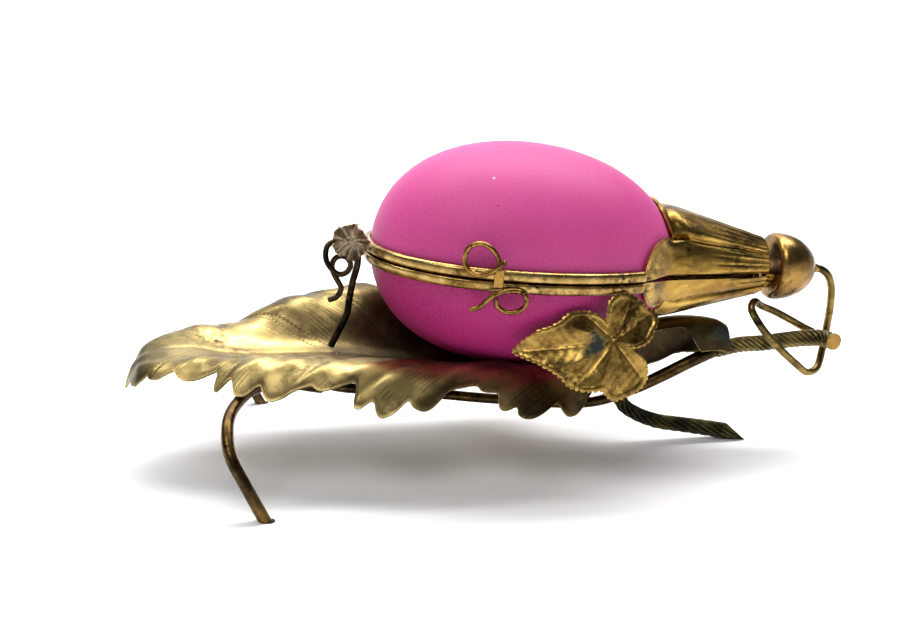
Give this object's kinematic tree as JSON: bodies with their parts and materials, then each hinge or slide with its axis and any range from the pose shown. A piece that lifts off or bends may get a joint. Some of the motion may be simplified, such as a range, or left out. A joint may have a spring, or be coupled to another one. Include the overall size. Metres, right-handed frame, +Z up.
{
  "type": "opaline glass trinket box",
  "caption": "Egg-shaped opaline glass box with brass rims, calyx, knob and hinged lid, lying on a brass leaf tray with bowed legs and a twig foot.",
  "frame": {"origin": "middle of the ground under the whole object", "axes": "+X from the leaf's tip to the end of the stalk, +Y away from the clasp's side, +Z up"},
  "size_m": [0.2398, 0.1016, 0.1031],
  "materials": {
    "opaline_glass": "satin, frosted pink opaline glass, opaque",
    "gilt_brass": "worn gilt, brown in the hollows",
    "leaf_brass": "pale gilt sheet with engraved veins, worn",
    "dark_brass": "dark brown patina with some green"
  },
  "bodies": {
    "stand": {"glass_bowl": "opaline_glass", "bowl_rim": "gilt_brass", "bowl_calyx": "gilt_brass", "knob": "gilt_brass", "bowl_knuckle_left": "gilt_brass", "bowl_knuckle_right": "gilt_brass", "hinge_pin": "gilt_brass", "lower_clasp": "gilt_brass", "leaf_tray": "leaf_brass", "leaf_post": "dark_brass", "arch_post": "dark_brass", "spine_rod": "dark_brass", "stalk": "dark_brass", "twig_foot": "dark_brass", "front_leg": "dark_brass", "back_leg": "dark_brass", "knob_tendril": "dark_brass", "support_wire": "dark_brass", "curl_tendril": "dark_brass", "blossom": "dark_brass", "vine_leaf": "gilt_brass", "vine_leaf_pin": "dark_brass"},
    "lid": {"glass_lid": "opaline_glass", "lid_rim": "gilt_brass", "lid_calyx": "gilt_brass", "lid_knuckle": "gilt_brass", "upper_clasp": "gilt_brass"}
  },
  "joints": [
    {"name": "lid_hinge", "type": "hinge", "parent": "stand", "child": "lid", "pos_m": [0.00353, 0.04022, 0.06617], "axis": [-0.9983, 0, 0.0576], "range_deg": [0, 95]}
  ]
}
